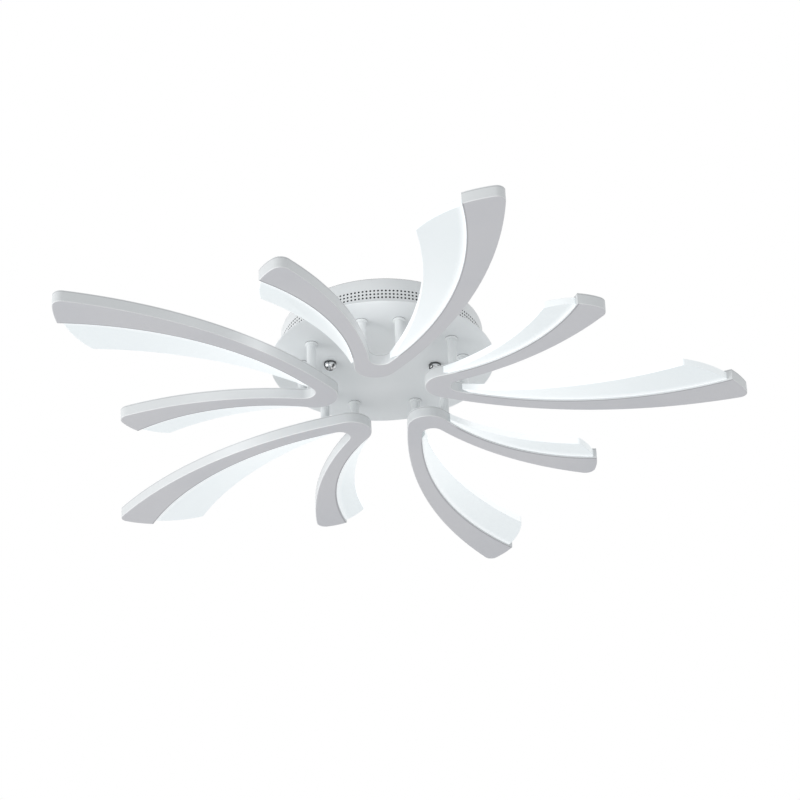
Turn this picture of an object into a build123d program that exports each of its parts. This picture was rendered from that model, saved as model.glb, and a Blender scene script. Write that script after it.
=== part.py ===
from build123d import *
import os
from math import acos, atan2, cos, degrees, radians, sin, sqrt, tan

os.makedirs("parts", exist_ok=True)

# A semi-flush ceiling light: a round canopy with a vented side, and five boomerang heads
# that hang under it on two posts each. Millimetres, +Z up. The origin is in the ceiling
# plane at the middle of the ceiling bracket, and the bracket runs along X.

# Layout of the heads
head_count = 5
first_head_angle = -24.0
head_droop = 1.6
post_line_radius = 87.2
post_spacing = 40.6

# Canopy
plate_radius = 125.0
plate_thickness = 1.2
plate_edge_break = 0.4
plate_overhang = 12.0
ring_wall = 0.8
ring_height = 36.8
ring_flange = 7.0
ring_hem = 4.0

# Ceiling bracket with its two studs and their cap nuts
stud_spacing = 117.0
bracket_width = 26.0
bracket_thickness = 1.5
bracket_step = 6.0
bend_shift = 0.6
bracket_flat = 88.0
bracket_end = 12.0
slot_spacing = 60.0
slot_length = 14.0
slot_width = 5.0
earth_offset = 11.0
stud_diameter = 4.0
stud_head_diameter = 8.0
stud_head_height = 2.6
stud_clearance = 0.25
stud_reach = 5.0
lock_nut_flats = 7.0
lock_nut_height = 3.2
cap_nut_diameter = 14.0
cap_nut_height = 8.6
cap_nut_bore_depth = 6.2
cap_nut_running_clearance = 0.05
cap_nut_seat_gap = 0.1

# Posts
post_diameter = 10.0
post_length = 37.5
post_bore = 3.0
collar_diameter = 14.0
collar_height = 2.2
top_spigot_diameter = 8.0
top_nut_flats = 13.0
top_nut_height = 5.0
foot_spigot_diameter = 5.0
foot_nut_flats = 8.0
foot_nut_height = 4.0
thread_beyond_nut = 1.2

# Heads: an opaque channel with a lid, a light slot along the leading edge of each arm,
# and a milky blade that stands in each slot
head_height = 13.0
lid_thickness = 1.2
floor_thickness = 1.4
channel_wall = 1.4
long_tip_round = 9.0
short_tip_round = 11.0
notch_round = 12.0
blade_recess = 2.0
blade_cover = 1.8
blade_tongue = 2.5
blade_corner_round = 4.0
board_depth = 5.2
board_thickness = 1.0
chip_width = 3.0
chip_height = 3.6
chip_stand = 0.7
chip_pitch = 20.0
chip_margin = 14.0
boss_diameter = 6.0
lid_screw_diameter = 3.0
lid_screw_head = 5.6
lid_screw_head_height = 1.2
lid_screw_length = 8.0

# Driver, terminal block and leads on the inside of the canopy plate
driver_length = 104.0
driver_width = 36.0
driver_height = 24.0
driver_offset = 38.0
driver_tab = 9.0
driver_tab_thickness = 1.6
driver_round = 3.0
inner_stud_diameter = 3.0
inner_stud_height = 5.0
inner_nut_flats = 5.5
inner_nut_height = 2.4
terminal_length = 30.0
terminal_width = 20.0
terminal_height = 15.0
terminal_offset = -38.0
terminal_poles = 3
terminal_entry = 3.2
lead_diameter = 2.4
lead_crest = -13.0
lead_depth = 1.0
lead_bend_share = 0.45

# Routes of the leads inside the canopy, chosen by hand, from the driver to above the posts
lead_routes = [
    [(52.0, 30.0, -24.0), (68.0, 30.0, -24.0), (84.0, 8.0, -13.0)],
    [(52.0, 48.0, -24.0), (66.0, 48.0, -24.0), (72.0, 66.0, -14.0)],
    [(-30.0, 56.0, -24.0), (-30.0, 70.0, -24.0), (-44.0, 82.0, -14.0)],
    [(-52.0, 32.0, -24.0), (-68.0, 32.0, -24.0), (-84.0, 10.0, -13.0), (-85.0, -14.0, -13.5)],
    [(30.0, 20.0, -24.0), (30.0, 4.0, -24.0), (34.0, -24.0, -14.0), (30.0, -56.0, -12.5)],
]
mains_route = [(-10.0, -28.0, -30.8), (-10.0, -14.0, -30.8), (-30.0, 4.0, -25.0), (-30.0, 20.0, -25.0)]

# Plan outline of one head. X runs outward along the head's axis from the middle of its
# two posts, and the long arm is on the +Y side. The points of an arm are measured from that
# arm's own post. Every side and end of an arm is one arc, and the notch is where the arms'
# inner sides cross.
long_outer_start = (-26.9, -7.6)
long_outer_mid = (130.2, 79.3)
long_tip_outer = (294.8, 106.1)
long_tip_mid = (291.2, 84.7)
long_tip_inner = (283.8, 64.4)
long_inner_mid = (139.5, 59.0)
long_inner_end = (-26.7, -31.1)
short_inner_start = (-26.7, 9.5)
short_inner_mid = (90.8, -12.8)
short_tip_inner = (192.3, -71.7)
short_tip_mid = (180.2, -85.8)
short_tip_outer = (164.8, -96.1)
short_outer_mid = (82.2, -30.2)
short_outer_end = (-11.1, -9.1)

# Free edge and far end of each blade
long_blade_root = (1.0, -11.0)
long_blade_mid = (114.0, 22.2)
long_blade_corner = (240.1, 20.4)
long_blade_end_mid = (258.0, 35.7)
long_blade_end = (277.5, 63.7)
short_blade_root = (-7.0, -11.7)
short_blade_mid = (66.9, -42.9)
short_blade_corner = (128.8, -97.0)
short_blade_end_mid = (144.0, -97.3)
short_blade_end = (161.0, -94.2)

# Middle line of each arm, which parts its lit edge from its far edge
long_middle = [(280.0, 78.7), (134.0, 69.7), (12.0, 5.7)]
short_middle = [(172.0, -77.7), (88.0, -20.7), (12.0, -0.7)]
board_start = 14.0

# Lid screws, along the middle of the arms
long_screw_points = [(160.0, 76.7), (268.0, 87.7)]
short_screw_points = [(166.0, -69.7)]

# Derived sizes and heights
ring_radius = plate_radius - plate_overhang
plate_bottom = -ring_height - plate_thickness
plate_top = -ring_height
lid_top = plate_bottom - post_length
channel_height = head_height - lid_thickness
lid_underside = -lid_thickness
head_bottom = -head_height
blade_bottom = head_bottom + blade_recess
blade_thickness = channel_height - blade_recess - blade_cover
bracket_low = -bracket_step - bracket_thickness


def place_head(number):
    """Where head number sits: its own frame is level, with the lid's top face at zero."""
    turn = first_head_angle + number * 360.0 / head_count
    return (
        Location((0, 0, 0), (0, 0, turn))
        * Location((post_line_radius, 0, lid_top), (0, head_droop, 0))
    )


def place_post(number, side):
    """Where a post sits, upright, with the canopy plate's underside at zero."""
    turn = first_head_angle + number * 360.0 / head_count
    return (
        Location((0, 0, 0), (0, 0, turn))
        * Location((post_line_radius, side * post_spacing / 2, plate_bottom))
    )


def save(piece, name):
    """Label one finished piece and write it."""
    piece.label = name
    export_step(piece, f"parts/{name}.step")


def on_long(*points):
    """Points of the long arm, moved from its post to the head's own frame."""
    return [Vector(x, y + post_spacing / 2) for x, y in points]


def on_short(*points):
    """Points of the short arm, moved from its post to the head's own frame."""
    return [Vector(x, y - post_spacing / 2) for x, y in points]


def crossing(first, second):
    """Where the circles of two arcs cross, on the side of the heads' noses."""
    span = second.arc_center - first.arc_center
    along = (first.radius**2 - second.radius**2 + span.length**2) / (2 * span.length)
    aside = sqrt(first.radius**2 - along**2)
    ahead = span.normalized()
    return first.arc_center + ahead * along + ahead.rotate(Axis.Z, -90) * aside


lid_screw_points = on_long(*long_screw_points) + on_short(*short_screw_points)
notch_corner = crossing(
    ThreePointArc(*on_long(long_tip_inner, long_inner_mid, long_inner_end)),
    ThreePointArc(*on_short(short_inner_start, short_inner_mid, short_tip_inner)),
)

# Plan faces that the head's pieces share
with BuildSketch() as head_plan:
    with BuildLine() as head_edge:
        long_outer = ThreePointArc(*on_long(long_outer_start, long_outer_mid, long_tip_outer))
        ThreePointArc(*on_long(long_tip_outer, long_tip_mid, long_tip_inner))
        long_inner = ThreePointArc(*on_long(long_tip_inner, long_inner_mid), notch_corner)
        ThreePointArc(notch_corner, *on_short(short_inner_mid, short_tip_inner))
        ThreePointArc(*on_short(short_tip_inner, short_tip_mid, short_tip_outer))
        short_outer = ThreePointArc(
            *on_short(short_tip_outer, short_outer_mid, short_outer_end)
        )
        TangentArc(long_outer @ 0, short_outer @ 1, tangent=(long_outer % 0) * -1)
    make_face()
    fillet(head_plan.vertices().sort_by_distance(long_outer @ 1)[0], long_tip_round)
    fillet(
        head_plan.vertices().sort_by_distance(on_short(short_tip_inner)[0])[0],
        short_tip_round,
    )
    fillet(head_plan.vertices().sort_by_distance(notch_corner)[0], notch_round)


def inset_plan(inset):
    """The head's outline drawn in by the same width all round."""
    with BuildSketch() as plan:
        add(head_plan.sketch)
        offset(amount=-inset, kind=Kind.INTERSECTION, mode=Mode.REPLACE)
    return plan.sketch


channel_plan = inset_plan(channel_wall)
tongue_plan = inset_plan(blade_tongue)
board_front = inset_plan(board_depth)
board_back = inset_plan(board_depth + board_thickness)

with BuildSketch() as long_half:
    with BuildLine():
        ThreePointArc(*on_long(long_blade_root, long_blade_mid, long_blade_corner))
        ThreePointArc(*on_long(long_blade_corner, long_blade_end_mid, long_blade_end))
        Line(*on_long(long_blade_end, long_middle[0]))
        ThreePointArc(*on_long(*long_middle))
        Line(*on_long(long_middle[2], long_blade_root))
    make_face()
    fillet(
        long_half.vertices().sort_by_distance(on_long(long_blade_corner)[0])[0],
        blade_corner_round,
    )

with BuildSketch() as short_half:
    with BuildLine():
        ThreePointArc(*on_short(short_blade_root, short_blade_mid, short_blade_corner))
        ThreePointArc(*on_short(short_blade_corner, short_blade_end_mid, short_blade_end))
        Line(*on_short(short_blade_end, short_middle[0]))
        ThreePointArc(*on_short(*short_middle))
        Line(*on_short(short_middle[2], short_blade_root))
    make_face()
    fillet(
        short_half.vertices().sort_by_distance(on_short(short_blade_corner)[0])[0],
        blade_corner_round,
    )

with BuildSketch() as long_blade_plan:
    add(long_half.sketch)
    add(tongue_plan, mode=Mode.SUBTRACT)

with BuildSketch() as short_blade_plan:
    add(short_half.sketch)
    add(tongue_plan, mode=Mode.SUBTRACT)


# Head channel: floor and walls in one, open at the top, with a slot for each blade,
# screw bosses for the lid and nothing at the posts, whose nuts drop in from above
with BuildPart() as housing:
    with BuildSketch(Plane.XY.offset(head_bottom)):
        add(head_plan.sketch)
    extrude(amount=channel_height)
    with BuildSketch(Plane.XY.offset(head_bottom + floor_thickness)):
        add(channel_plan)
    extrude(amount=channel_height, mode=Mode.SUBTRACT)
    with BuildSketch(Plane.XY.offset(blade_bottom)):
        add(long_blade_plan.sketch)
        add(short_blade_plan.sketch)
    extrude(amount=blade_thickness, mode=Mode.SUBTRACT)
    with BuildSketch(Plane.XY.offset(head_bottom)):
        with Locations(*lid_screw_points):
            Circle(boss_diameter / 2)
    extrude(amount=channel_height)
    with BuildSketch(Plane.XY.offset(lid_underside)):
        with Locations(*lid_screw_points):
            Circle(lid_screw_diameter / 2)
    extrude(amount=-lid_screw_length, mode=Mode.SUBTRACT)

# Lid: the same outline, with the posts' holes and the screws' holes
with BuildPart() as lid:
    with BuildSketch(Plane.XY.offset(lid_underside)):
        add(head_plan.sketch)
        with Locations((0, post_spacing / 2), (0, -post_spacing / 2)):
            Circle(foot_spigot_diameter / 2, mode=Mode.SUBTRACT)
        with Locations(*lid_screw_points):
            Circle(lid_screw_diameter / 2, mode=Mode.SUBTRACT)
    extrude(amount=lid_thickness)

# Blades: flat milky acrylic with a tongue that passes through the channel's slot
with BuildPart() as long_blade:
    with BuildSketch(Plane.XY.offset(blade_bottom)):
        add(long_blade_plan.sketch)
    extrude(amount=blade_thickness)

with BuildPart() as short_blade:
    with BuildSketch(Plane.XY.offset(blade_bottom)):
        add(short_blade_plan.sketch)
    extrude(amount=blade_thickness)

# LED boards: strips on edge between floor and lid, with a row of chips that faces the blade
board_bottom = head_bottom + floor_thickness
board_height = lid_underside - board_bottom


def chip_places(edge, root_x):
    """Chips along one lit edge, at even steps on an arc parallel to it."""
    center = edge.arc_center
    radius = edge.radius + board_depth - chip_stand / 2
    tip = min((edge @ 0, edge @ 1), key=lambda end: -end.X)
    start = degrees(atan2(tip.Y - center.Y, tip.X - center.X) + chip_margin / radius)
    stop = degrees(acos((root_x + chip_pitch - center.X) / radius))
    count = int(radians(stop - start) * radius / chip_pitch)
    step = degrees(chip_pitch / radius)
    with Locations(Location((center.X, center.Y, board_bottom + board_height / 2))):
        places = PolarLocations(radius, count, start, step * (count - 1), endpoint=True)
        return [place for place in places]


def make_board(half, edge):
    """One LED board along one arm's lit edge."""
    with BuildPart() as board:
        with BuildSketch(Plane.XY.offset(board_bottom)):
            add(board_front)
            add(board_back, mode=Mode.SUBTRACT)
            add(half.sketch, mode=Mode.INTERSECT)
            with Locations((board_start, 0)):
                Rectangle(
                    post_spacing, 4 * post_spacing, align=(Align.MAX, Align.CENTER),
                    mode=Mode.SUBTRACT,
                )
        extrude(amount=board_height)
        with Locations(*chip_places(edge, board_start)):
            Box(chip_stand, chip_width, chip_height)
    return board.part


long_board = make_board(long_half, long_inner)
short_board = make_board(short_half, short_outer)

# Screws that hold the lid to the channel's bosses
with BuildPart() as lid_screws:
    with BuildSketch(Plane.XY.offset(-lid_screw_length)):
        with Locations(*lid_screw_points):
            Circle(lid_screw_diameter / 2)
    extrude(amount=lid_screw_length)
    with BuildSketch():
        with Locations(*lid_screw_points):
            Circle(lid_screw_head / 2)
    extrude(amount=lid_screw_head_height)

# Nuts under the lid, on the posts' lower spigots
with BuildPart() as foot_nuts:
    with BuildSketch(Plane.XY.offset(lid_underside)):
        with Locations((0, post_spacing / 2), (0, -post_spacing / 2)):
            RegularPolygon(foot_nut_flats / 2, 6, major_radius=False)
            Circle(foot_spigot_diameter / 2, mode=Mode.SUBTRACT)
    extrude(amount=-foot_nut_height)

# Post: a turned tube with a collar against the canopy plate, a spigot through the plate,
# and a foot cut to the lean of the head, with a spigot through the lid
foot_plane = Plane(
    origin=(0, 0, -post_length),
    x_dir=(cos(radians(head_droop)), 0, -sin(radians(head_droop))),
    z_dir=(sin(radians(head_droop)), 0, cos(radians(head_droop))),
)
top_spigot_length = plate_thickness + top_nut_height + thread_beyond_nut
foot_spigot_length = lid_thickness + foot_nut_height + thread_beyond_nut

with BuildPart() as post:
    with BuildSketch():
        Circle(post_diameter / 2)
    extrude(amount=-post_length - post_diameter)
    split(bisect_by=foot_plane, keep=Keep.TOP)
    with BuildSketch():
        Circle(collar_diameter / 2)
    extrude(amount=-collar_height)
    chamfer(
        post.edges().filter_by(GeomType.CIRCLE).filter_by_position(
            Axis.Z, -collar_height, -collar_height
        ).sort_by(SortBy.RADIUS)[-1],
        collar_height / 2,
    )
    with BuildSketch():
        Circle(top_spigot_diameter / 2)
    extrude(amount=top_spigot_length)
    with BuildSketch(foot_plane):
        Circle(foot_spigot_diameter / 2)
    extrude(amount=-foot_spigot_length)
    with BuildSketch(Plane.XY.offset(top_spigot_length)):
        Circle(post_bore / 2)
    extrude(amount=-post_length - 3 * post_diameter, mode=Mode.SUBTRACT)

# Places of the posts in the canopy plate
post_places = [
    place_post(number, side) for number in range(head_count) for side in (1, -1)
]
post_points = [(place.position.X, place.position.Y) for place in post_places]
stud_points = [(-stud_spacing / 2, 0), (stud_spacing / 2, 0)]
driver_stud_points = [
    (-driver_length / 2 - driver_tab / 2, driver_offset),
    (driver_length / 2 + driver_tab / 2, driver_offset),
]
inner_stud_points = driver_stud_points + [(0, terminal_offset)]

# Canopy plate: a round disc with the posts' and studs' holes, and weld studs inside
with BuildPart() as plate:
    with BuildSketch(Plane.XY.offset(plate_bottom)):
        Circle(plate_radius)
        with Locations(*post_points):
            Circle(top_spigot_diameter / 2, mode=Mode.SUBTRACT)
        with Locations(*stud_points):
            Circle(stud_diameter / 2 + stud_clearance, mode=Mode.SUBTRACT)
    extrude(amount=plate_thickness)
    chamfer(
        plate.edges().filter_by(GeomType.CIRCLE).group_by(SortBy.RADIUS)[-1],
        plate_edge_break,
    )
    with BuildSketch(Plane.XY.offset(plate_top)):
        with Locations(*inner_stud_points):
            Circle(inner_stud_diameter / 2)
    extrude(amount=inner_stud_height)

# Vented ring: a thin band with a flange spot-welded to the plate and a hem at the ceiling
with BuildPart() as ring:
    with BuildSketch(Plane.XY.offset(plate_top)):
        Circle(ring_radius)
        Circle(ring_radius - ring_wall, mode=Mode.SUBTRACT)
    extrude(amount=ring_height)
    with BuildSketch(Plane.XY.offset(plate_top)):
        Circle(ring_radius - ring_wall)
        Circle(ring_radius - ring_flange, mode=Mode.SUBTRACT)
    extrude(amount=ring_wall)
    with BuildSketch():
        Circle(ring_radius - ring_wall)
        Circle(ring_radius - ring_hem, mode=Mode.SUBTRACT)
    extrude(amount=-ring_wall)

# Ceiling bracket: a strip whose ends step down so that the stud heads clear the ceiling
end_half = stud_spacing / 2 + bracket_end
step_run = bracket_flat / 2 + bracket_step
with BuildPart() as bracket:
    with BuildSketch(Plane.XZ.offset(-bracket_width / 2)):
        with BuildLine():
            top_line = Polyline(
                (-end_half, -bracket_step), (-step_run, -bracket_step),
                (-bracket_flat / 2, 0), (bracket_flat / 2, 0),
                (step_run, -bracket_step), (end_half, -bracket_step),
            )
            Line(top_line @ 1, (end_half, bracket_low))
            bottom_line = Polyline(
                (end_half, bracket_low), (step_run - bend_shift, bracket_low),
                (bracket_flat / 2 - bend_shift, -bracket_thickness),
                (bend_shift - bracket_flat / 2, -bracket_thickness),
                (bend_shift - step_run, bracket_low), (-end_half, bracket_low),
            )
            Line(bottom_line @ 1, top_line @ 0)
        make_face()
    extrude(amount=bracket_width)
    fillet(bracket.edges().filter_by(Axis.Z), bracket_width / 6)
    with BuildSketch():
        with GridLocations(slot_spacing, 1, 2, 1):
            SlotOverall(slot_length, slot_width)
        with Locations((earth_offset, 0)):
            Circle(stud_diameter / 2)
        with Locations(*stud_points):
            Circle(stud_diameter / 2)
    extrude(amount=bracket_low, mode=Mode.SUBTRACT)

# Two studs: machine screws hung through the bracket's ends, locked by a nut underneath
stud_low = plate_bottom - stud_reach
with BuildPart() as studs:
    with BuildSketch(Plane.XY.offset(-bracket_step)):
        with Locations(*stud_points):
            Circle(stud_head_diameter / 2)
    extrude(amount=stud_head_height)
    chamfer(studs.edges().group_by(Axis.Z)[-1], stud_head_height / 3)
    with BuildSketch(Plane.XY.offset(-bracket_step)):
        with Locations(*stud_points):
            Circle(stud_diameter / 2)
    extrude(amount=stud_low + bracket_step)

with BuildPart() as lock_nuts:
    with BuildSketch(Plane.XY.offset(bracket_low)):
        with Locations(*stud_points):
            RegularPolygon(lock_nut_flats / 2, 6, major_radius=False)
            Circle(stud_diameter / 2, mode=Mode.SUBTRACT)
    extrude(amount=-lock_nut_height)

# Earth screw, up through the bracket's flat
with BuildPart() as earth_screw:
    with BuildSketch(Plane.XY.offset(-bracket_thickness)):
        with Locations((earth_offset, 0)):
            Circle(stud_head_diameter / 2)
    extrude(amount=-stud_head_height)
    chamfer(earth_screw.edges().group_by(Axis.Z)[0], stud_head_height / 3)
    with BuildSketch(Plane.XY.offset(-bracket_thickness)):
        with Locations((earth_offset, 0)):
            Circle(stud_diameter / 2)
    extrude(amount=bracket_thickness)

# Domed cap nut, turned about the stud's own axis
cap_top = plate_bottom - cap_nut_seat_gap
cap_low = cap_top - cap_nut_height
cap_bore = stud_diameter / 2 + cap_nut_running_clearance
dome_start = cap_top - cap_nut_height * 0.45
with BuildPart() as cap_nut:
    with BuildSketch(Plane.XZ):
        with BuildLine():
            Polyline(
                (cap_bore, cap_top), (cap_nut_diameter / 2, cap_top),
                (cap_nut_diameter / 2, dome_start),
            )
            Spline(
                (cap_nut_diameter / 2, dome_start), (0, cap_low),
                tangents=[(0, -1), (-1, 0)],
            )
            Polyline(
                (0, cap_low), (0, cap_top - cap_nut_bore_depth),
                (cap_bore, cap_top - cap_nut_bore_depth), (cap_bore, cap_top),
            )
        make_face()
    revolve(axis=Axis.Z)

# Nuts inside the canopy: on the posts' upper spigots and on the weld studs
with BuildPart() as canopy_nuts:
    with BuildSketch(Plane.XY.offset(plate_top)):
        with Locations(*post_points):
            RegularPolygon(top_nut_flats / 2, 6, major_radius=False)
            Circle(top_spigot_diameter / 2, mode=Mode.SUBTRACT)
    extrude(amount=top_nut_height)

with BuildPart() as inner_nuts:
    with BuildSketch(Plane.XY.offset(plate_top + driver_tab_thickness)):
        with Locations(*driver_stud_points):
            RegularPolygon(inner_nut_flats / 2, 6, major_radius=False)
            Circle(inner_stud_diameter / 2, mode=Mode.SUBTRACT)
    extrude(amount=inner_nut_height)

# LED driver: a sealed box with a tab at each end on the weld studs
with BuildPart() as driver:
    with BuildSketch(Plane.XY.offset(plate_top)):
        with Locations((0, driver_offset)):
            RectangleRounded(driver_length, driver_width, driver_round)
    extrude(amount=driver_height)
    fillet(driver.edges().group_by(Axis.Z)[-1], driver_round / 2)
    with BuildSketch(Plane.XY.offset(plate_top)):
        with Locations((0, driver_offset)):
            RectangleRounded(
                driver_length + 2 * driver_tab, driver_width / 2, driver_round
            )
        with Locations(*driver_stud_points):
            Circle(inner_stud_diameter / 2, mode=Mode.SUBTRACT)
    extrude(amount=driver_tab_thickness)

# Terminal block: three poles, each with a wire entry on both sides and a screw above
pole_pitch = terminal_length / terminal_poles
with BuildPart() as terminal:
    with BuildSketch(Plane.XY.offset(plate_top)):
        with Locations((0, terminal_offset)):
            Rectangle(terminal_length, terminal_width)
    extrude(amount=terminal_height)
    with BuildSketch(Plane.XZ.offset(-terminal_offset - terminal_width)):
        with Locations((0, plate_top + terminal_height * 0.4)):
            with GridLocations(pole_pitch, 1, terminal_poles, 1):
                Circle(terminal_entry / 2)
    extrude(amount=2 * terminal_width, mode=Mode.SUBTRACT)
    with BuildSketch(Plane.XY.offset(plate_top + terminal_height)):
        with Locations((0, terminal_offset)):
            with GridLocations(pole_pitch, terminal_width / 2, terminal_poles, 2):
                Circle(terminal_entry / 2)
    extrude(amount=-terminal_height * 0.3, mode=Mode.SUBTRACT)
    with BuildSketch(Plane.XY.offset(plate_top)):
        with Locations((0, terminal_offset)):
            Circle(inner_stud_diameter / 2)
    extrude(amount=inner_stud_height, mode=Mode.SUBTRACT)


def make_lead(points):
    """One round lead: straight runs joined by arcs as large as the runs allow."""
    stops = [Vector(*point) for point in points]
    runs = [after - before for before, after in zip(stops, stops[1:])]
    radii = []
    for before, after in zip(runs, runs[1:]):
        half_turn = radians(before.get_angle(after)) / 2
        radii.append(lead_bend_share * min(before.length, after.length) / tan(half_turn))
    print("lead radii", [round(radius, 1) for radius in radii])
    with BuildPart() as lead:
        with BuildLine() as route:
            FilletPolyline(*points, radius=radii)
        with BuildSketch(route.line ^ 0):
            Circle(lead_diameter / 2)
        sweep()
    return lead.part


# Each head's lead leaves the driver, rises and drops into the bore of the long arm's post
lead_mouth = plate_bottom + top_spigot_length
head_leads = []
for number, route in enumerate(lead_routes):
    post_x, post_y = post_points[2 * number]
    drop = [(post_x, post_y, height) for height in (lead_crest, lead_mouth - lead_depth)]
    head_leads.append(make_lead(route + drop))

mains_lead = make_lead(mains_route)

# Write the canopy and what is on it
save(plate.part, "canopy_plate")
save(ring.part, "canopy_vent_ring")
save(bracket.part, "ceiling_bracket")
save(studs.part, "bracket_studs")
save(lock_nuts.part, "stud_lock_nuts")
save(earth_screw.part, "earth_screw")
save(canopy_nuts.part, "post_nuts_in_canopy")
save(inner_nuts.part, "driver_nuts")
save(driver.part, "led_driver")
save(terminal.part, "terminal_block")
save(mains_lead, "mains_lead")
save(Compound(children=head_leads), "head_leads")
for side, point in zip(("left", "right"), stud_points):
    save(cap_nut.part.moved(Location((*point, 0))), f"cap_nut_{side}")

# Write the five heads and their posts
for number in range(head_count):
    seat = place_head(number)
    name = f"head_{number + 1}"
    save(housing.part.moved(seat), f"{name}_channel")
    save(lid.part.moved(seat), f"{name}_lid")
    save(long_blade.part.moved(seat), f"{name}_long_diffuser")
    save(short_blade.part.moved(seat), f"{name}_short_diffuser")
    save(long_board.moved(seat), f"{name}_long_led_board")
    save(short_board.moved(seat), f"{name}_short_led_board")
    save(post.part.moved(post_places[2 * number]), f"{name}_long_arm_post")
    save(post.part.moved(post_places[2 * number + 1]), f"{name}_short_arm_post")

every_seat = [place_head(number) for number in range(head_count)]
save(Compound(children=[lid_screws.part.moved(seat) for seat in every_seat]), "lid_screws")
save(Compound(children=[foot_nuts.part.moved(seat) for seat in every_seat]), "post_nuts_in_heads")
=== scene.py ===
from math import cos, pi, radians, sin, tan

import bmesh
import bpy
from mathutils import Matrix, Vector


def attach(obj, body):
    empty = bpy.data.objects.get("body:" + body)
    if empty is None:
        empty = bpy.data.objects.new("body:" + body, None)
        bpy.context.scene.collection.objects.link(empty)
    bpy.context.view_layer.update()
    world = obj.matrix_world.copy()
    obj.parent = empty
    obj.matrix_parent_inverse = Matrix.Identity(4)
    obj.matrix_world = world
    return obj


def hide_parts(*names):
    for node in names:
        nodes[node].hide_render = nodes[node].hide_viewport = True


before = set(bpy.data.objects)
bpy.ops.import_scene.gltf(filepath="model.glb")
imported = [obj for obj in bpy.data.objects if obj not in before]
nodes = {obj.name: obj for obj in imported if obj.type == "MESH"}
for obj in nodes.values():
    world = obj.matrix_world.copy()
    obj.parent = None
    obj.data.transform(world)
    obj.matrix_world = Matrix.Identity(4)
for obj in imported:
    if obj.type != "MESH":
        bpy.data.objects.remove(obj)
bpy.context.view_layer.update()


# Camera. It stands below the light, a little to the left of its middle, and looks up at it
# through a long lens.
def placed(name, data):
    """A new object that holds a camera, a lamp or a mesh."""
    thing = bpy.data.objects.new(name, data)
    bpy.context.scene.collection.objects.link(thing)
    return thing


camera_data = bpy.data.cameras.new("camera")
camera_data.lens = 89.81
camera_data.sensor_width = 36.0
camera_data.clip_end = 50.0
camera = placed("camera", camera_data)
camera.matrix_world = (
    Matrix.Translation((-0.1682, -1.8753, -1.2182))
    @ Matrix.Rotation(radians(-5.67), 4, "Z")
    @ Matrix.Rotation(radians(121.03), 4, "X")
    @ Matrix.Rotation(radians(-2.09), 4, "Z")
)
bpy.context.scene.camera = camera
bpy.context.scene.view_settings.view_transform = "Standard"


# Room. A pale floor well below the light, a white surround, and soft light that comes mostly
# from the left. The ceiling itself is left out, so that the canopy can be seen from above.
class Signal:
    """One output socket, so that 1 - mask or mask * wear adds the Math node it means."""

    def __init__(self, finish, socket):
        self.finish = finish
        self.socket = socket

    def math(self, operation, *others, swap=False):
        values = (others[0], self) if swap else (self, *others)
        return self.finish.node(
            "ShaderNodeMath", {"operation": operation}, dict(enumerate(values))
        )

    def __add__(self, other):
        return self.math("ADD", other)

    def __sub__(self, other):
        return self.math("SUBTRACT", other)

    def __rsub__(self, other):
        return self.math("SUBTRACT", other, swap=True)

    def __mul__(self, other):
        return self.math("MULTIPLY", other)

    __radd__ = __add__
    __rmul__ = __mul__

    def ramp_up(self, low, high):
        """0 below low and 1 above high, with a soft step between."""
        return self.finish.node(
            "ShaderNodeMapRange",
            {"interpolation_type": "SMOOTHSTEP", "clamp": True},
            {"Value": self, "From Min": low, "From Max": high},
        )


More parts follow.
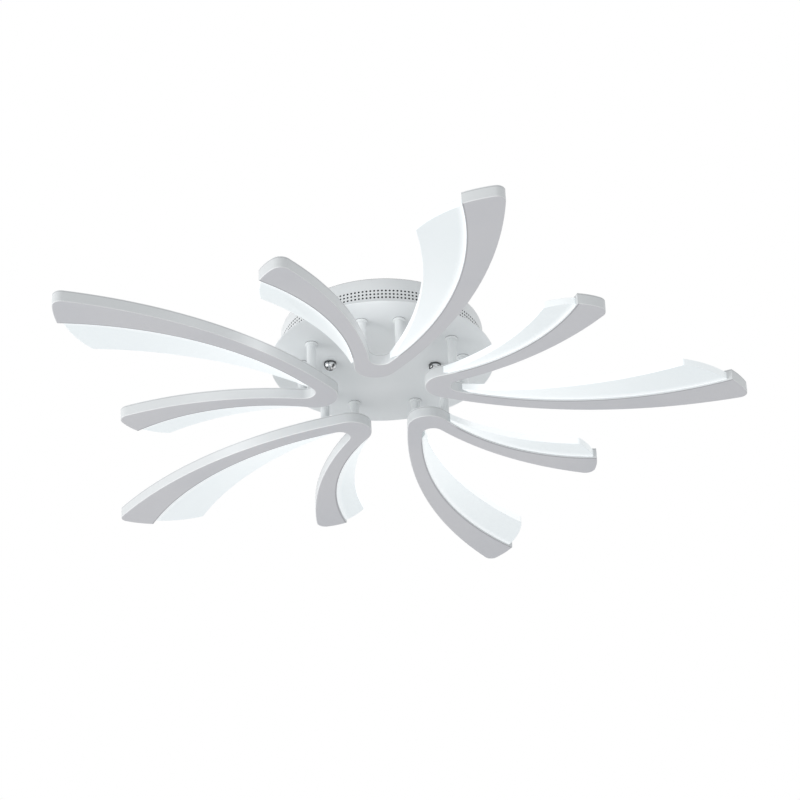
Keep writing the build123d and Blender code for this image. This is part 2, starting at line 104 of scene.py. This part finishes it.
class Finish:
    """A shader and the nodes that feed it, in a material or in the surround."""

    holders, main_node, end_node = bpy.data.materials, "Principled BSDF", "Material Output"

    def __init__(self, name, **constants):
        self.holder = self.holders.new(name)
        self.holder.use_nodes = True
        self.tree = self.holder.node_tree
        self.shader = self.tree.nodes[self.main_node]
        self.plain = Signal(self, self.shader.outputs[0])
        for socket, value in constants.items():
            self.set(socket.replace("_", " "), value)

    def set(self, socket, value):
        if isinstance(value, Signal):
            self.tree.links.new(value.socket, self.shader.inputs[socket])
        elif isinstance(value, tuple):
            self.shader.inputs[socket].default_value = (*value, 1.0)
        else:
            self.shader.inputs[socket].default_value = value

    def node(self, kind, settings=None, values=None, output=0):
        node = self.tree.nodes.new(kind)
        for name, value in (settings or {}).items():
            setattr(node, name, value)
        for name, value in (values or {}).items():
            if isinstance(value, Signal):
                self.tree.links.new(value.socket, node.inputs[name])
            else:
                node.inputs[name].default_value = value
        return Signal(self, node.outputs[output])

    def place(self):
        """Object coordinates in metres."""
        return self.node("ShaderNodeTexCoord", output="Object")

    def split(self, vector):
        """The x, y and z of a vector."""
        split = self.node("ShaderNodeSeparateXYZ", values={0: vector}).socket.node
        return [Signal(self, output) for output in split.outputs]

    def facing(self):
        """How much a face looks up, from 1 upwards to -1 downwards."""
        return self.split(self.node("ShaderNodeNewGeometry", output="Normal"))[2]

    def noise(self, coordinates, scale, detail=2.0, roughness=0.5):
        values = {
            "Vector": coordinates, "Scale": scale, "Detail": detail, "Roughness": roughness,
        }
        return self.node("ShaderNodeTexNoise", values=values)

    def mix(self, factor, first, second):
        """Colour from first at factor 0 to second at factor 1."""
        first, second = [
            value if isinstance(value, Signal) else (*value, 1.0) for value in (first, second)
        ]
        return self.node(
            "ShaderNodeMix", {"data_type": "RGBA"}, {0: factor, 6: first, 7: second}, output=2
        )

    def bump(self, height, strength, distance):
        values = {"Height": height, "Strength": strength, "Distance": distance}
        self.set("Normal", self.node("ShaderNodeBump", values=values))

    def seen(self):
        """1 on what the camera sees, straight, in a reflection or through glass."""
        return sum(
            self.node("ShaderNodeLightPath", output=f"Is {ray} Ray")
            for ray in ("Camera", "Glossy", "Transmission")
        )

    def glow(self, colour):
        """A shader that gives off one colour."""
        return self.node("ShaderNodeEmission", values={"Color": (*colour, 1.0)})

    def show(self, factor, first, second):
        """Puts out the first shader at factor 0, and the second at factor 1."""
        shown = self.node("ShaderNodeMixShader", values={0: factor, 1: first, 2: second})
        self.tree.links.new(shown.socket, self.tree.nodes[self.end_node].inputs["Surface"])

    def on(self, *pieces):
        """Puts the material on pieces, given as objects or as the names of CAD nodes."""
        for piece in pieces:
            item = nodes[piece] if isinstance(piece, str) else piece
            if not item.material_slots:
                item.data.materials.append(self.holder)
            for material_slot in item.material_slots:
                material_slot.material = self.holder


class Surround(Finish):
    """The light that comes from all round, and the backdrop that is seen there."""

    holders, main_node, end_node = bpy.data.worlds, "Background", "World Output"


bpy.ops.object.select_all(action="DESELECT")
bpy.ops.mesh.primitive_plane_add(size=24.0, location=(0.0, 0.0, -2.5))
floor = bpy.context.object
floor.name = "floor"
pale_floor = Finish("pale_floor", Roughness=0.9, Base_Color=(0.82, 0.82, 0.82))
pale_floor.show(pale_floor.seen() * 0.7, pale_floor.plain, pale_floor.glow((0.93, 0.93, 0.93)))
pale_floor.on(floor)

surround = Surround("surround", Color=(0.975, 0.99, 1.0), Strength=0.67)
backdrop = surround.node("ShaderNodeBackground", values={"Color": (1.0, 1.0, 1.0, 1.0)})
surround.show(surround.seen(), surround.plain, backdrop)
bpy.context.scene.world = surround.holder

for name, place, size, power in (
    ("left_lamp", (-3.05, -0.8, -1.15), 2.2, 49.0),
    ("low_lamp", (-0.6, -1.8, -2.2), 1.6, 3.5),
):
    lamp_data = bpy.data.lights.new(name, "AREA")
    lamp_data.size = size
    lamp_data.energy = power
    lamp = placed(name, lamp_data)
    lamp.location = place
    lamp.rotation_euler = (-Vector(place)).to_track_quat("-Z", "Y").to_euler()

# What the lit blades throw about them: weak lamps between and beside the arms, and above the
# heads, under the rim of the canopy plate.
for turn, reach, height, power in (
    (156.0, 0.20, -0.080, 0.012), (156.0, 0.29, -0.080, 0.007), (192.0, 0.20, -0.080, 0.008),
    (228.0, 0.27, -0.080, 0.010), (48.0, 0.16, -0.080, 0.006), (-24.0, 0.16, -0.080, 0.006),
    (264.0, 0.135, -0.066, 0.014), (192.0, 0.135, -0.066, 0.007), (-24.0, 0.135, -0.066, 0.007),
    (120.0, 0.135, -0.066, 0.004), (48.0, 0.135, -0.066, 0.004), (224.0, 0.18, -0.086, 0.013),
    (250.0, 0.135, -0.060, 0.006),
):
    lamp_data = bpy.data.lights.new("blade_glow", "POINT")
    lamp_data.energy = power
    lamp_data.shadow_soft_size = 0.03
    lamp = placed("blade_glow", lamp_data)
    lamp.location = (reach * cos(radians(turn)), reach * sin(radians(turn)), height)
    lamp.visible_camera = False
    lamp.visible_glossy = False

# Painted shade over the canopy's mouth: a near-black, faintly glowing patch that stands for the
# ceiling in shade, so that the vent holes look dark. Only the camera sees it, and only from
# below.
bpy.ops.mesh.primitive_circle_add(
    vertices=64, radius=0.1086, fill_type="NGON", location=(0.0, 0.0, -0.0003)
)
ceiling_shade_patch = bpy.context.object
ceiling_shade_patch.name = "ceiling_shade_patch"
ceiling_shade = Finish("ceiling_shade")
camera_ray = ceiling_shade.node("ShaderNodeLightPath", output="Is Camera Ray")
from_below = ceiling_shade.node("ShaderNodeNewGeometry", output="Backfacing")
unseen = ceiling_shade.node("ShaderNodeBsdfTransparent")
ceiling_shade.show(camera_ray * from_below, unseen, ceiling_shade.glow((0.012, 0.013, 0.014)))
ceiling_shade.on(ceiling_shade_patch)


# Canopy plate. A flat disc of pressed steel that overhangs the ring. It is powder-coated white
# outside and keeps its bare galvanised face inside, where the driver and terminals are fixed;
# that face is painted far darker than zinc, as painted shade.
def powder_coat(name, colour, shade, bare_and_shaded):
    """White powder coat with a fine orange peel, over bare steel, painted dark as shade, where
    the mask says so.
    """
    coat = Finish(name)
    coordinates = coat.place()
    x, y, z = coat.split(coordinates)
    cloud = coat.noise(coordinates, 9.0, 3.0).ramp_up(0.35, 0.65)
    peel = coat.noise(coordinates, 900.0, 1.0)
    bare_shaded_steel = bare_and_shaded(coat, (x * x + y * y).math("SQRT"), z)
    spangle = coat.noise(coordinates, 140.0, 4.0, 0.7).ramp_up(0.35, 0.7)
    # Bare zinc inside, painted far darker than zinc: painted shade inside the canopy, which also
    # darkens the vent holes.
    zinc_and_painted_shade = coat.mix(spangle, (0.10, 0.104, 0.108), (0.19, 0.194, 0.202))
    coat.set("Base Color", coat.mix(bare_shaded_steel, coat.mix(cloud, colour, shade), zinc_and_painted_shade))
    coat.set("Metallic", bare_shaded_steel * 0.4)
    coat.set("Roughness", 0.38 + peel * 0.1 + bare_shaded_steel * 0.2)
    coat.bump(peel, 0.08, 0.0004)
    return coat


ring_foot = 0.1129
powder_coat(
    "canopy_plate_coat", (0.84, 0.86, 0.87), (0.81, 0.835, 0.845),
    lambda coat, reach, z: coat.facing().ramp_up(0.2, 0.6) * (
        1.0 - reach.ramp_up(ring_foot - 0.0003, ring_foot + 0.0003)
    ),
).on("canopy_plate")


# Canopy side. A band of thin steel sheet with three rows of punched vent holes all round, a
# folded hem at the ceiling and a flange that is spot-welded to the plate; coated as the plate.
def only(piece):
    """Makes one piece the only one that is selected, and the active one."""
    bpy.ops.object.select_all(action="DESELECT")
    piece.select_set(True)
    bpy.context.view_layer.objects.active = piece


def pick(piece, kind, test, add=False):
    """Selects, in edit mode, those of a piece's verts, edges or faces that pass the test."""
    bpy.ops.mesh.select_mode(type={"verts": "VERT", "edges": "EDGE", "faces": "FACE"}[kind])
    if not add:
        bpy.ops.mesh.select_all(action="DESELECT")
    shape = bmesh.from_edit_mesh(piece.data)
    for element in getattr(shape, kind):
        if test(element):
            element.select_set(True)
    bmesh.update_edit_mesh(piece.data)


def middle(edge):
    return (edge.verts[0].co + edge.verts[1].co) / 2


ring_radius = 0.113
ring_low = -0.0368
ring_sheet = 0.0008
hem_radius = 0.109
flange_radius = 0.106
fold_radius = 0.0009
vent_columns = 170
vent_pitch = 0.0043
vent_middle = -0.0203
vent_hole = 0.00115
band_half_height = 1.5 * vent_pitch
hair = 0.00001
half_cell = pi / vent_columns
cell_half_width = ring_radius * sin(half_cell)
cell_y = -ring_radius * cos(half_cell)
bpy.ops.mesh.primitive_grid_add(
    x_subdivisions=3, y_subdivisions=9, size=1.0, location=(0.0, cell_y, vent_middle),
    rotation=(pi / 2, 0.0, 0.0),
)
vent_ring = bpy.context.object
vent_ring.name = "vent_ring_sheet"
only(vent_ring)
vent_ring.scale = (2 * cell_half_width, 2 * band_half_height, 1.0)
bpy.ops.object.transform_apply(location=True, rotation=True, scale=True)
bpy.ops.object.mode_set(mode="EDIT")
rows = [vent_middle + step * vent_pitch for step in (-1, 0, 1)]
pick(vent_ring, "verts", lambda vert: abs(vert.co.x) < cell_half_width * 0.9 and any(
    abs(vert.co.z - row) < vent_pitch * 0.4 for row in rows
))
bpy.ops.mesh.delete(type="VERT")
punch_stroke = 0.004
for row in rows:
    bpy.ops.mesh.primitive_circle_add(
        vertices=12, radius=vent_hole, fill_type="NOTHING",
        location=(0.0, cell_y - punch_stroke, row), rotation=(pi / 2, radians(15), 0.0),
    )
    pick(vent_ring, "edges", lambda edge: (
        abs(middle(edge).y - cell_y) < hair and abs(middle(edge).z - row) < vent_pitch * 0.51
    ), add=True)
    bpy.ops.mesh.bridge_edge_loops()
pick(vent_ring, "verts", lambda vert: vert.co.y < cell_y - punch_stroke / 2)
bpy.ops.transform.translate(value=(0.0, punch_stroke, 0.0))
bpy.ops.mesh.select_all(action="SELECT")
bpy.ops.mesh.spin(
    steps=vent_columns, dupli=True, angle=2 * pi, center=(0.0, 0.0, 0.0), axis=(0.0, 0.0, 1.0)
)
bpy.ops.mesh.select_all(action="SELECT")
bpy.ops.mesh.remove_doubles(threshold=hair)
for edge_height, far_height, far_radius in (
    (vent_middle + band_half_height, 0.0, hem_radius),
    (vent_middle - band_half_height, ring_low, flange_radius),
):
    pick(vent_ring, "edges", lambda edge: abs(middle(edge).z - edge_height) < hair)
    bpy.ops.mesh.extrude_edges_move(
        TRANSFORM_OT_translate={"value": (0.0, 0.0, far_height - edge_height)}
    )
    bpy.ops.mesh.extrude_edges_move(TRANSFORM_OT_translate={"value": (0.0, 0.0, 0.0)})
    share = far_radius / ring_radius
    bpy.ops.transform.resize(value=(share, share, 1.0), center_override=(0.0, 0.0, far_height))
    pick(vent_ring, "edges", lambda edge: (
        abs(middle(edge).z - far_height) < hair
        and all(vert.co.xy.length > ring_radius * 0.995 for vert in edge.verts)
    ))
    bpy.ops.mesh.bevel(offset=fold_radius, segments=2, affect="EDGES")
bpy.ops.mesh.select_all(action="SELECT")
bpy.ops.mesh.normals_make_consistent(inside=False)
bpy.ops.object.mode_set(mode="OBJECT")
wall = vent_ring.modifiers.new("wall", "SOLIDIFY")
wall.thickness = ring_sheet
wall.offset = -1.0
wall.use_even_offset = True
bpy.ops.object.modifier_apply(modifier="wall")
bpy.ops.object.shade_smooth_by_angle(angle=radians(25))
# Inside and on the holes' walls the ring takes the dark inside colour, painted shade that makes
# the holes look dark.
powder_coat(
    "canopy_ring_coat", (0.83, 0.85, 0.86), (0.80, 0.825, 0.835),
    lambda coat, reach, z: 1.0 - reach.ramp_up(ring_radius - 0.00015, ring_radius - 0.00005),
).on(vent_ring)
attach(vent_ring, "fixture")
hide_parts("canopy_vent_ring")


# Posts. Turned steel tubes with a collar under the plate, screwed through it and through the
# lids by their spigots, and powder-coated like the canopy. From just under the collar's top
# upward they take the dark inside colour, a thin painted shadow where the collar meets the
# plate.
def named(ending):
    """The names of the CAD nodes with this ending, one or two for each head."""
    return [name for name in nodes if name.endswith(ending)]


# Above this height the posts take the dark inside colour: a painted shadow line at the collar's
# top.
collar_shadow_line = -0.0384
powder_coat(
    "post_coat", (0.84, 0.86, 0.865), (0.81, 0.835, 0.845),
    lambda coat, reach, z: z.ramp_up(collar_shadow_line - 0.0002, collar_shadow_line + 0.0002),
).on(*named("_post"))


# Head channels. Each is a shallow boomerang tray of painted aluminium, with soft edges below
# and a slot along the lit edge of either arm. The underside is painted greyer than the walls,
# as painted shade, and the lid leaves a fine seam round the top of the walls.
def head_plan(finish):
    """A head's own plan coordinates, outward and across, alike on all five heads."""
    x, y, _ = finish.split(finish.place())
    turn = (y.math("ARCTAN2", x) - first_turn).math("WRAP", head_turn / 2, -head_turn / 2)
    reach = (x * x + y * y).math("SQRT")
    return reach * turn.math("COSINE") - nose_reach, reach * turn.math("SINE")


def past_edge(out, across, edge):
    """How far a point lies from an arm's lit edge: above 0 on the blade, below 0 in the arm."""
    centre, radius = edge
    out, across = out - centre[0], across - centre[1]
    return radius - (out * out + across * across).math("SQRT")


def soften(name, width, smallest):
    """A welded copy of a CAD node whose broad level faces get rounded edges."""
    piece = placed(name + "_soft", nodes[name].data.copy())
    only(piece)
    bpy.ops.object.mode_set(mode="EDIT")
    bpy.ops.mesh.select_all(action="SELECT")
    bpy.ops.mesh.remove_doubles(threshold=0.000001)
    bpy.ops.mesh.dissolve_limited(angle_limit=radians(0.4))

    def borders_broad_face(edge):
        faces = sorted(edge.link_faces, key=lambda face: abs(face.normal.z))
        if len(faces) != 2:
            return False
        wall_face, broad = faces
        return (
            abs(wall_face.normal.z) < 0.2 and wall_face.calc_area() > sliver
            and abs(broad.normal.z) > 0.99 and broad.calc_area() > smallest and edge.is_convex
        )

    pick(piece, "edges", borders_broad_face)
    bpy.ops.mesh.bevel(offset=width, segments=2, affect="EDGES")
    bpy.ops.object.mode_set(mode="OBJECT")
    bpy.ops.object.shade_smooth_by_angle(angle=radians(20))
    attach(piece, "fixture")
    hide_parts(name)
    return piece


first_turn = radians(-24.0)
head_turn = radians(72.0)
nose_reach = 0.0872
droop = radians(1.6)
lid_top = -0.0755
lid_sheet = 0.0012
sliver = 0.00000001
long_edge = ((0.225081, -0.276902), 0.366338)
short_edge = ((-0.012972, -0.254506), 0.225114)
strip_coat = Finish("strip_coat")
coordinates = strip_coat.place()
z = strip_coat.split(coordinates)[2]
out, across = head_plan(strip_coat)
facing = strip_coat.facing()
under = 1.0 - facing.ramp_up(-0.9, -0.5)
cloud = strip_coat.noise(coordinates, 7.0, 3.0).ramp_up(0.35, 0.65)
walls = strip_coat.mix(cloud, (0.765, 0.785, 0.795), (0.74, 0.76, 0.77))
# Painted shade: the underside is greyer than the walls.
shaded_bottom = strip_coat.mix(cloud, (0.67, 0.67, 0.695), (0.64, 0.645, 0.675))
# Painted shadow: a thin dark line along each arm's lit edge, where the channel meets the blade.
slot_shadow_lines = 0.0
for edge, side in ((long_edge, 1.0), (short_edge, -1.0)):
    line = 1.0 - past_edge(out, across, edge).math("ABSOLUTE").ramp_up(0.0010, 0.0022)
    arm = (across * side).ramp_up(0.002, 0.006) * out.ramp_up(0.004, 0.012)
    slot_shadow_lines = line * arm + slot_shadow_lines
above_seam = z - lid_top + lid_sheet + out * tan(droop)
seam = 1.0 - above_seam.math("ABSOLUTE").ramp_up(0.0002, 0.0006)
seam = seam * (1.0 - facing.math("ABSOLUTE").ramp_up(0.3, 0.6))
# Painted highlight: a lighter band on the rounded lower edges, away from the lit edges.
rounded_edge_highlight = facing.ramp_up(-0.98, -0.85) * (1.0 - facing.ramp_up(-0.45, -0.2))
paint = strip_coat.mix(under, walls, shaded_bottom)
paint = strip_coat.mix(rounded_edge_highlight * (1.0 - slot_shadow_lines), paint, (0.90, 0.91, 0.915))
paint = strip_coat.mix(seam * 0.6, paint, (0.45, 0.46, 0.47))
strip_coat.set("Base Color", strip_coat.mix(under * slot_shadow_lines * 0.6, paint, (0.34, 0.34, 0.36)))
peel = strip_coat.noise(coordinates, 900.0, 1.0)
strip_coat.set("Roughness", 0.40 + peel * 0.1)
strip_coat.bump(peel, 0.08, 0.0004)
for name in named("_channel"):
    strip_coat.on(soften(name, 0.0008, 0.003))


# Lids. Flat plates of the same outline that close the channels from above, painted like them
# and held by three screws each.
strip_coat.on(*named("_lid"))


# Blades. Flat milky acrylic, lit along the edge that stands in the channel: brightest there, on
# the free edge and in the narrow inner end, and a cool grey-white at the wide far end.
def milky_acrylic(name, edge, corner):
    """Lit acrylic whose wide end lies at corner, measured outward from the nose."""
    acrylic = Finish(name, Roughness=0.2, Emission_Strength=1.0, Coat_Weight=0.3)
    out, across = head_plan(acrylic)
    depth = past_edge(out, across, edge)
    milk = acrylic.noise(acrylic.place(), 14.0, 3.0).ramp_up(0.3, 0.7)
    acrylic.set("Base Color", acrylic.mix(milk, (0.93, 0.955, 0.965), (0.915, 0.945, 0.958)))
    bright = (0.36, 0.37, 0.375)
    face = acrylic.mix(out.ramp_up(0.0, corner), (0.24, 0.26, 0.265), (0.11, 0.132, 0.14))
    face = acrylic.mix(depth.ramp_up(-0.003, 0.008), bright, face)
    ends = out.ramp_up(corner - 0.004, corner + 0.001) + (1.0 - out.ramp_up(0.002, 0.030))
    edge_walls = acrylic.mix(ends, bright, (0.17, 0.185, 0.19))
    upright = 1.0 - acrylic.facing().math("ABSOLUTE").ramp_up(0.3, 0.8)
    acrylic.set("Emission Color", acrylic.mix(upright, face, edge_walls))
    return acrylic


for arm, edge, corner, smallest in (
    ("long", long_edge, 0.240, 0.001), ("short", short_edge, 0.129, 0.0005),
):
    acrylic = milky_acrylic(arm + "_blade_acrylic", edge, corner)
    for name in named(f"_{arm}_diffuser"):
        acrylic.on(soften(name, 0.0004, smallest))


# LED boards. Narrow white-masked boards that stand on edge in the channels, with a row of
# yellow phosphor chips that faces each blade's tongue.
chip_depth = -0.00505
for arm, edge in (("long", long_edge), ("short", short_edge)):
    board = Finish(arm + "_led_board", Roughness=0.35)
    depth = past_edge(*head_plan(board), edge)
    chips = depth.ramp_up(chip_depth - 0.00005, chip_depth + 0.00005)
    speckle = board.noise(board.place(), 600.0, 2.0).ramp_up(0.4, 0.6)
    mask = board.mix(speckle, (0.86, 0.87, 0.85), (0.80, 0.81, 0.79))
    board.set("Base Color", board.mix(chips, mask, (0.90, 0.72, 0.18)))
    board.on(*named(f"_{arm}_led_board"))


# Cap nuts. Round nuts with a domed end, turned from brass and plated in dark chrome, each
# screwed by hand up a stud against the canopy plate. A groove parts the collar from the barrel.
# The chrome's dark and bright patches are painted reflections, and the collar is painted dark
# as shade.
def turned(name, sides, centre, profile):
    """A piece turned on a lathe: a round face drawn on through rings of (radius, height)."""
    radius, height = profile[0]
    bpy.ops.object.select_all(action="DESELECT")
    bpy.ops.mesh.primitive_circle_add(
        vertices=sides, radius=radius, fill_type="NGON", location=(*centre, height)
    )
    piece = bpy.context.object
    piece.name = name
    only(piece)
    bpy.ops.object.transform_apply(location=True, rotation=False, scale=False)
    bpy.ops.object.mode_set(mode="EDIT")
    bpy.ops.mesh.select_all(action="SELECT")
    for next_radius, next_height in profile[1:]:
        bpy.ops.mesh.extrude_region_move(
            TRANSFORM_OT_translate={"value": (0.0, 0.0, next_height - height)}
        )
        share = next_radius / radius
        bpy.ops.transform.resize(
            value=(share, share, 1.0), center_override=(*centre, next_height)
        )
        radius, height = next_radius, next_height
    bpy.ops.mesh.select_all(action="SELECT")
    bpy.ops.mesh.normals_make_consistent(inside=False)
    bpy.ops.object.mode_set(mode="OBJECT")
    bpy.ops.object.shade_smooth_by_angle(angle=radians(35))
    return piece


stud_reach = 0.0585
stud_places = (("left", -stud_reach), ("right", stud_reach))
nut_top = -0.0381
barrel_low = nut_top - 0.0039
barrel_radius = 0.00685
dome_height = 0.0047
dark_chrome = Finish("dark_chrome", Metallic=1.0)
coordinates = dark_chrome.place()
z = dark_chrome.split(coordinates)[2]
# Painted reflections: dark and bright patches on the chrome; the collar is painted dark as
# shade.
painted_reflection_mottle = dark_chrome.noise(coordinates, 250.0, 1.0, 0.4).ramp_up(0.40, 0.60)
collar_shade = z.ramp_up(nut_top - 0.0025, nut_top - 0.0021)
chrome_reflections = dark_chrome.mix(painted_reflection_mottle, (0.055, 0.058, 0.062), (0.86, 0.87, 0.88))
dark_chrome.set("Base Color", dark_chrome.mix(collar_shade, chrome_reflections, (0.14, 0.145, 0.15)))
dark_chrome.set("Roughness", 0.07 + painted_reflection_mottle * 0.08)
dome_rings = [
    (barrel_radius * cos(radians(step)), barrel_low - dome_height * sin(radians(step)))
    for step in (0, 15, 30, 45, 60, 75, 86)
]
for side, stud_x in stud_places:
    nut = turned(
        f"dome_nut_{side}", 40, (stud_x, 0.0),
        [
            (0.00205, nut_top - 0.0062), (0.00205, nut_top - 0.0004), (0.0025, nut_top),
            (0.0067, nut_top), (0.007, nut_top - 0.0003), (0.007, nut_top - 0.0015),
            (0.0068, nut_top - 0.0017), (0.0064, nut_top - 0.0018), (0.0064, nut_top - 0.0023),
            (0.0067, nut_top - 0.0025), *dome_rings,
        ],
    )
    dark_chrome.on(nut)
    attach(nut, f"cap_nut_{side}_body")
    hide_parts(f"cap_nut_{side}")


# Lid screws. Fifteen small pan-head screws with a cross recess, zinc-plated, driven down into
# the channels' bosses.
def zinc_plate(name, thread=0.0, head=0.0):
    """Bright zinc plating with a faint yellow and blue cast, over a thread below the head."""
    zinc = Finish(name, Metallic=1.0)
    coordinates = zinc.place()
    cast = zinc.noise(coordinates, 45.0, 3.0).ramp_up(0.35, 0.65)
    grain = zinc.noise(coordinates, 420.0, 4.0, 0.6)
    zinc.set("Base Color", zinc.mix(cast, (0.66, 0.67, 0.70), (0.70, 0.68, 0.60)))
    zinc.set("Roughness", 0.24 + grain * 0.2)
    if thread:
        z = zinc.split(coordinates)[2]
        below_head = 1.0 - z.ramp_up(head - 0.0006, head - 0.0004)
        zinc.bump((z * (2 * pi / thread)).math("SINE") * below_head, 0.9, thread * 0.3)
    else:
        zinc.bump(grain, 0.15, 0.0002)
    return zinc


def cross_recess(piece, centre, height, reach, width, depth):
    """Cuts a cross for a screwdriver into the top of a screw's head."""
    for length, breadth in ((reach, width), (width, reach)):
        bpy.ops.object.select_all(action="DESELECT")
        bpy.ops.mesh.primitive_cube_add(size=1.0, location=(*centre, height))
        cutter = bpy.context.object
        cutter.scale = (length, breadth, 2 * depth)
        only(piece)
        cut = piece.modifiers.new("recess", "BOOLEAN")
        cut.operation = "DIFFERENCE"
        cut.object = cutter
        bpy.ops.object.modifier_apply(modifier="recess")
        bpy.data.objects.remove(cutter)


screw_plan = [(0.160, 0.097), (0.268, 0.108), (0.166, -0.090)]
screw_head = 0.0012
one_screw = turned(
    "lid_screws_turned", 16, (0.0, 0.0),
    [
        (0.0009, -0.0080), (0.0015, -0.0072), (0.0015, 0.0), (0.0028, 0.0), (0.0028, 0.0006),
        (0.0025, 0.0010), (0.0019, screw_head),
    ],
)
cross_recess(one_screw, (0.0, 0.0), screw_head, 0.0028, 0.0006, 0.0007)
screws = []
for number in range(5):
    head_place = (
        Matrix.Rotation(first_turn + head_turn * number, 4, "Z")
        @ Matrix.Translation((nose_reach, 0.0, lid_top)) @ Matrix.Rotation(droop, 4, "Y")
    )
    for point in screw_plan:
        screw = placed("lid_screw", one_screw.data.copy())
        screw.data.transform(head_place @ Matrix.Translation((*point, 0.0)))
        screws.append(screw)
bpy.data.objects.remove(one_screw)
only(screws[0])
for screw in screws:
    screw.select_set(True)
bpy.ops.object.join()
lid_screws = bpy.context.object
lid_screws.name = "lid_screws_turned"
zinc_plate("screw_zinc").on(lid_screws)
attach(lid_screws, "fixture")
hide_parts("lid_screws")


# Bracket studs. Two long M4 machine screws that hang head up through the bracket's ends, each
# locked by a nut, and carry the canopy by the cap nuts.
stud_thread = 0.0007
stud_head_low = -0.0060
stud_head_top = -0.0034
stud_zinc = zinc_plate("stud_zinc", stud_thread, stud_head_low)
for side, stud_x in stud_places:
    stud = turned(
        f"stud_{side}_turned", 20, (stud_x, 0.0),
        [
            (0.0014, -0.0430), (0.0020, -0.0424), (0.0020, stud_head_low),
            (0.0040, stud_head_low), (0.0040, -0.0044), (0.0035, -0.0037),
            (0.0028, stud_head_top),
        ],
    )
    cross_recess(stud, (stud_x, 0.0), stud_head_top, 0.0040, 0.0009, 0.0013)
    stud_zinc.on(stud)
    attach(stud, "fixture")
    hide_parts("bracket_studs")


# Ceiling bracket. A strip of steel, pressed and punched, and zinc-plated. Two screws hold it to
# the ceiling through its slots.
zinc_plate("bracket_zinc").on("ceiling_bracket")


# Nuts. Hexagon nuts of zinc-plated steel with their edges broken. They hold the posts at both
# ends, the studs in the bracket and the driver on the plate.
nut_zinc = zinc_plate("nut_zinc")
for name, width in (
    ("post_nuts_in_canopy", 0.0005), ("stud_lock_nuts", 0.0004), ("driver_nuts", 0.0003),
    ("post_nuts_in_heads", 0.0004),
):
    nut_zinc.on(soften(name, width, 0.000005))


# Earth screw. Turned from plain brass, which has dulled in patches. It goes up through the
# bracket, where the earth wire is clamped.
brass = Finish("earth_brass", Metallic=1.0)
tarnish = brass.noise(brass.place(), 260.0, 3.0).ramp_up(0.35, 0.7)
brass.set("Base Color", brass.mix(tarnish, (0.78, 0.58, 0.28), (0.60, 0.42, 0.19)))
brass.set("Roughness", 0.22 + tarnish * 0.18)
brass.bump(tarnish, 0.1, 0.0002)
brass.on("earth_screw")


# LED driver. A sealed case of white moulded plastic with a parting line round its upper half
# and a lightly sparked surface, held by a tab at each end.
parting_height = -0.0190
casing = Finish("driver_casing")
coordinates = casing.place()
z = casing.split(coordinates)[2]
spark = casing.noise(coordinates, 1400.0, 2.0)
parting = 1.0 - (z - parting_height).math("ABSOLUTE").ramp_up(0.00015, 0.0004)
drift = casing.noise(coordinates, 30.0, 2.0).ramp_up(0.35, 0.65)
shell = casing.mix(drift, (0.80, 0.80, 0.775), (0.765, 0.765, 0.74))
casing.set("Base Color", casing.mix(parting * 0.8, shell, (0.32, 0.32, 0.31)))
casing.set("Roughness", 0.45 + spark * 0.15)
casing.bump(spark - parting * 1.5, 0.25, 0.0003)
casing.on("led_driver")


# Terminal block. Three poles of cream nylon with wire entries at the front and back, and a
# brass clamp at the bottom of each screw hole.
clamp_height = -0.0226
nylon = Finish("terminal_nylon", Roughness=0.4)
coordinates = nylon.place()
z = nylon.split(coordinates)[2]
deep = 1.0 - z.ramp_up(clamp_height - 0.0004, clamp_height + 0.0004)
clamp = nylon.facing().ramp_up(0.5, 0.9) * deep
drift = nylon.noise(coordinates, 60.0, 3.0).ramp_up(0.35, 0.65)
body_colour = nylon.mix(drift, (0.83, 0.81, 0.74), (0.79, 0.77, 0.70))
nylon.set("Base Color", nylon.mix(clamp, body_colour, (0.74, 0.55, 0.27)))
nylon.set("Metallic", clamp)
nylon.bump(nylon.noise(coordinates, 1200.0, 2.0), 0.12, 0.0003)
nylon.on("terminal_block")


# Leads. Short flexible wires in a white silicone sleeve, from the terminals to the driver and
# from the driver into the hollow posts.
sleeve = Finish("lead_sleeve")
coordinates = sleeve.place()
handling = sleeve.noise(coordinates, 90.0, 4.0).ramp_up(0.3, 0.75)
sleeve.set("Base Color", sleeve.mix(handling, (0.82, 0.82, 0.80), (0.74, 0.74, 0.73)))
sleeve.set("Roughness", 0.42 + handling * 0.16)
sleeve.bump(sleeve.noise(coordinates, 800.0, 2.0), 0.1, 0.0002)
sleeve.on("head_leads", "mains_lead")
